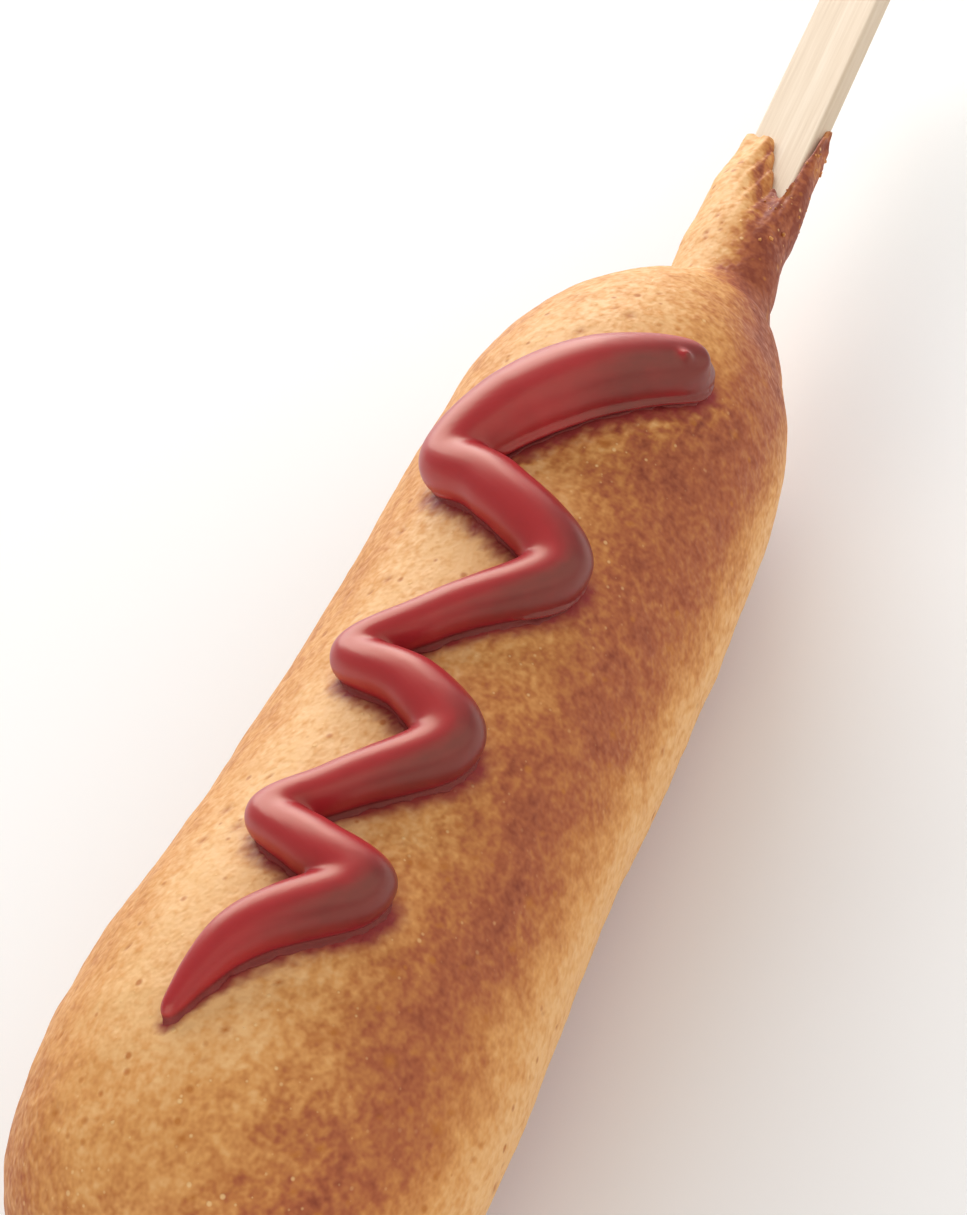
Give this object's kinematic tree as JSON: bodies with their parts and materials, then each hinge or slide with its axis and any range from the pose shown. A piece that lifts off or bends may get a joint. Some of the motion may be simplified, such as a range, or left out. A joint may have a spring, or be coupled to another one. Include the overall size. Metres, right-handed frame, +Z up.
{
  "type": "corn dog",
  "caption": "Corn dog: sausage-shaped fried cornmeal batter on a flat wooden stick, with a zigzag bead of ketchup along the top; it lies on its side.",
  "frame": {"origin": "on the surface it lies on, under the middle of the whole object's box", "axes": "+X along the stick towards its free end, +Z up from the surface it lies on to the ketchup, +Y to the left looking along +X"},
  "size_m": [0.2176, 0.0422, 0.0453],
  "materials": {
    "crust": "fried cornmeal batter, satin, finely grained, golden brown with darker patches",
    "stick": "sanded bare birch with lengthwise grain",
    "ketchup": "glossy wet sauce"
  },
  "bodies": {
    "root": {"batter": "crust", "stick": "stick", "ketchup": "ketchup"}
  },
  "joints": []
}
